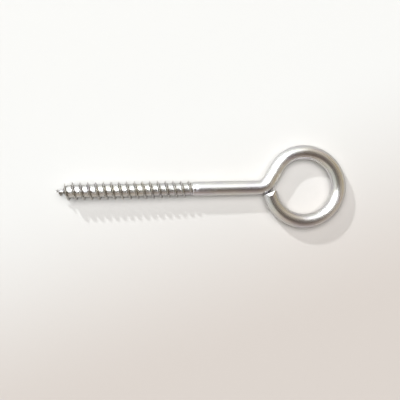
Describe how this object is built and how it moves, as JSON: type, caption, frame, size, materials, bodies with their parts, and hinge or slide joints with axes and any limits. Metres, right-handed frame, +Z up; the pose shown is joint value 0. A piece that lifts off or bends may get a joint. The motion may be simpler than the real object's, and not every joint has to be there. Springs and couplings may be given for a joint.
{
  "type": "screw eye",
  "caption": "Zinc-plated steel screw eye of bent round wire: a pinched-off eye, a bent neck and a rolled right-hand wood thread with a gimlet point.",
  "frame": {"origin": "centre of the bounding box in X and Y, on the ground in Z, with the part lying flat as it rests", "axes": "+X along the shank from the point towards the eye, +Z up, normal to the flat of the eye, +Y to the side that the neck bends to"},
  "size_m": [0.1, 0.0286, 0.0066],
  "materials": {
    "zinc_plated_steel": "bright zinc plating over drawn steel wire, smooth and shiny, with faint violet and straw-coloured passivation tints"
  },
  "bodies": {
    "root": {"screw_eye": "zinc_plated_steel"}
  },
  "joints": []
}
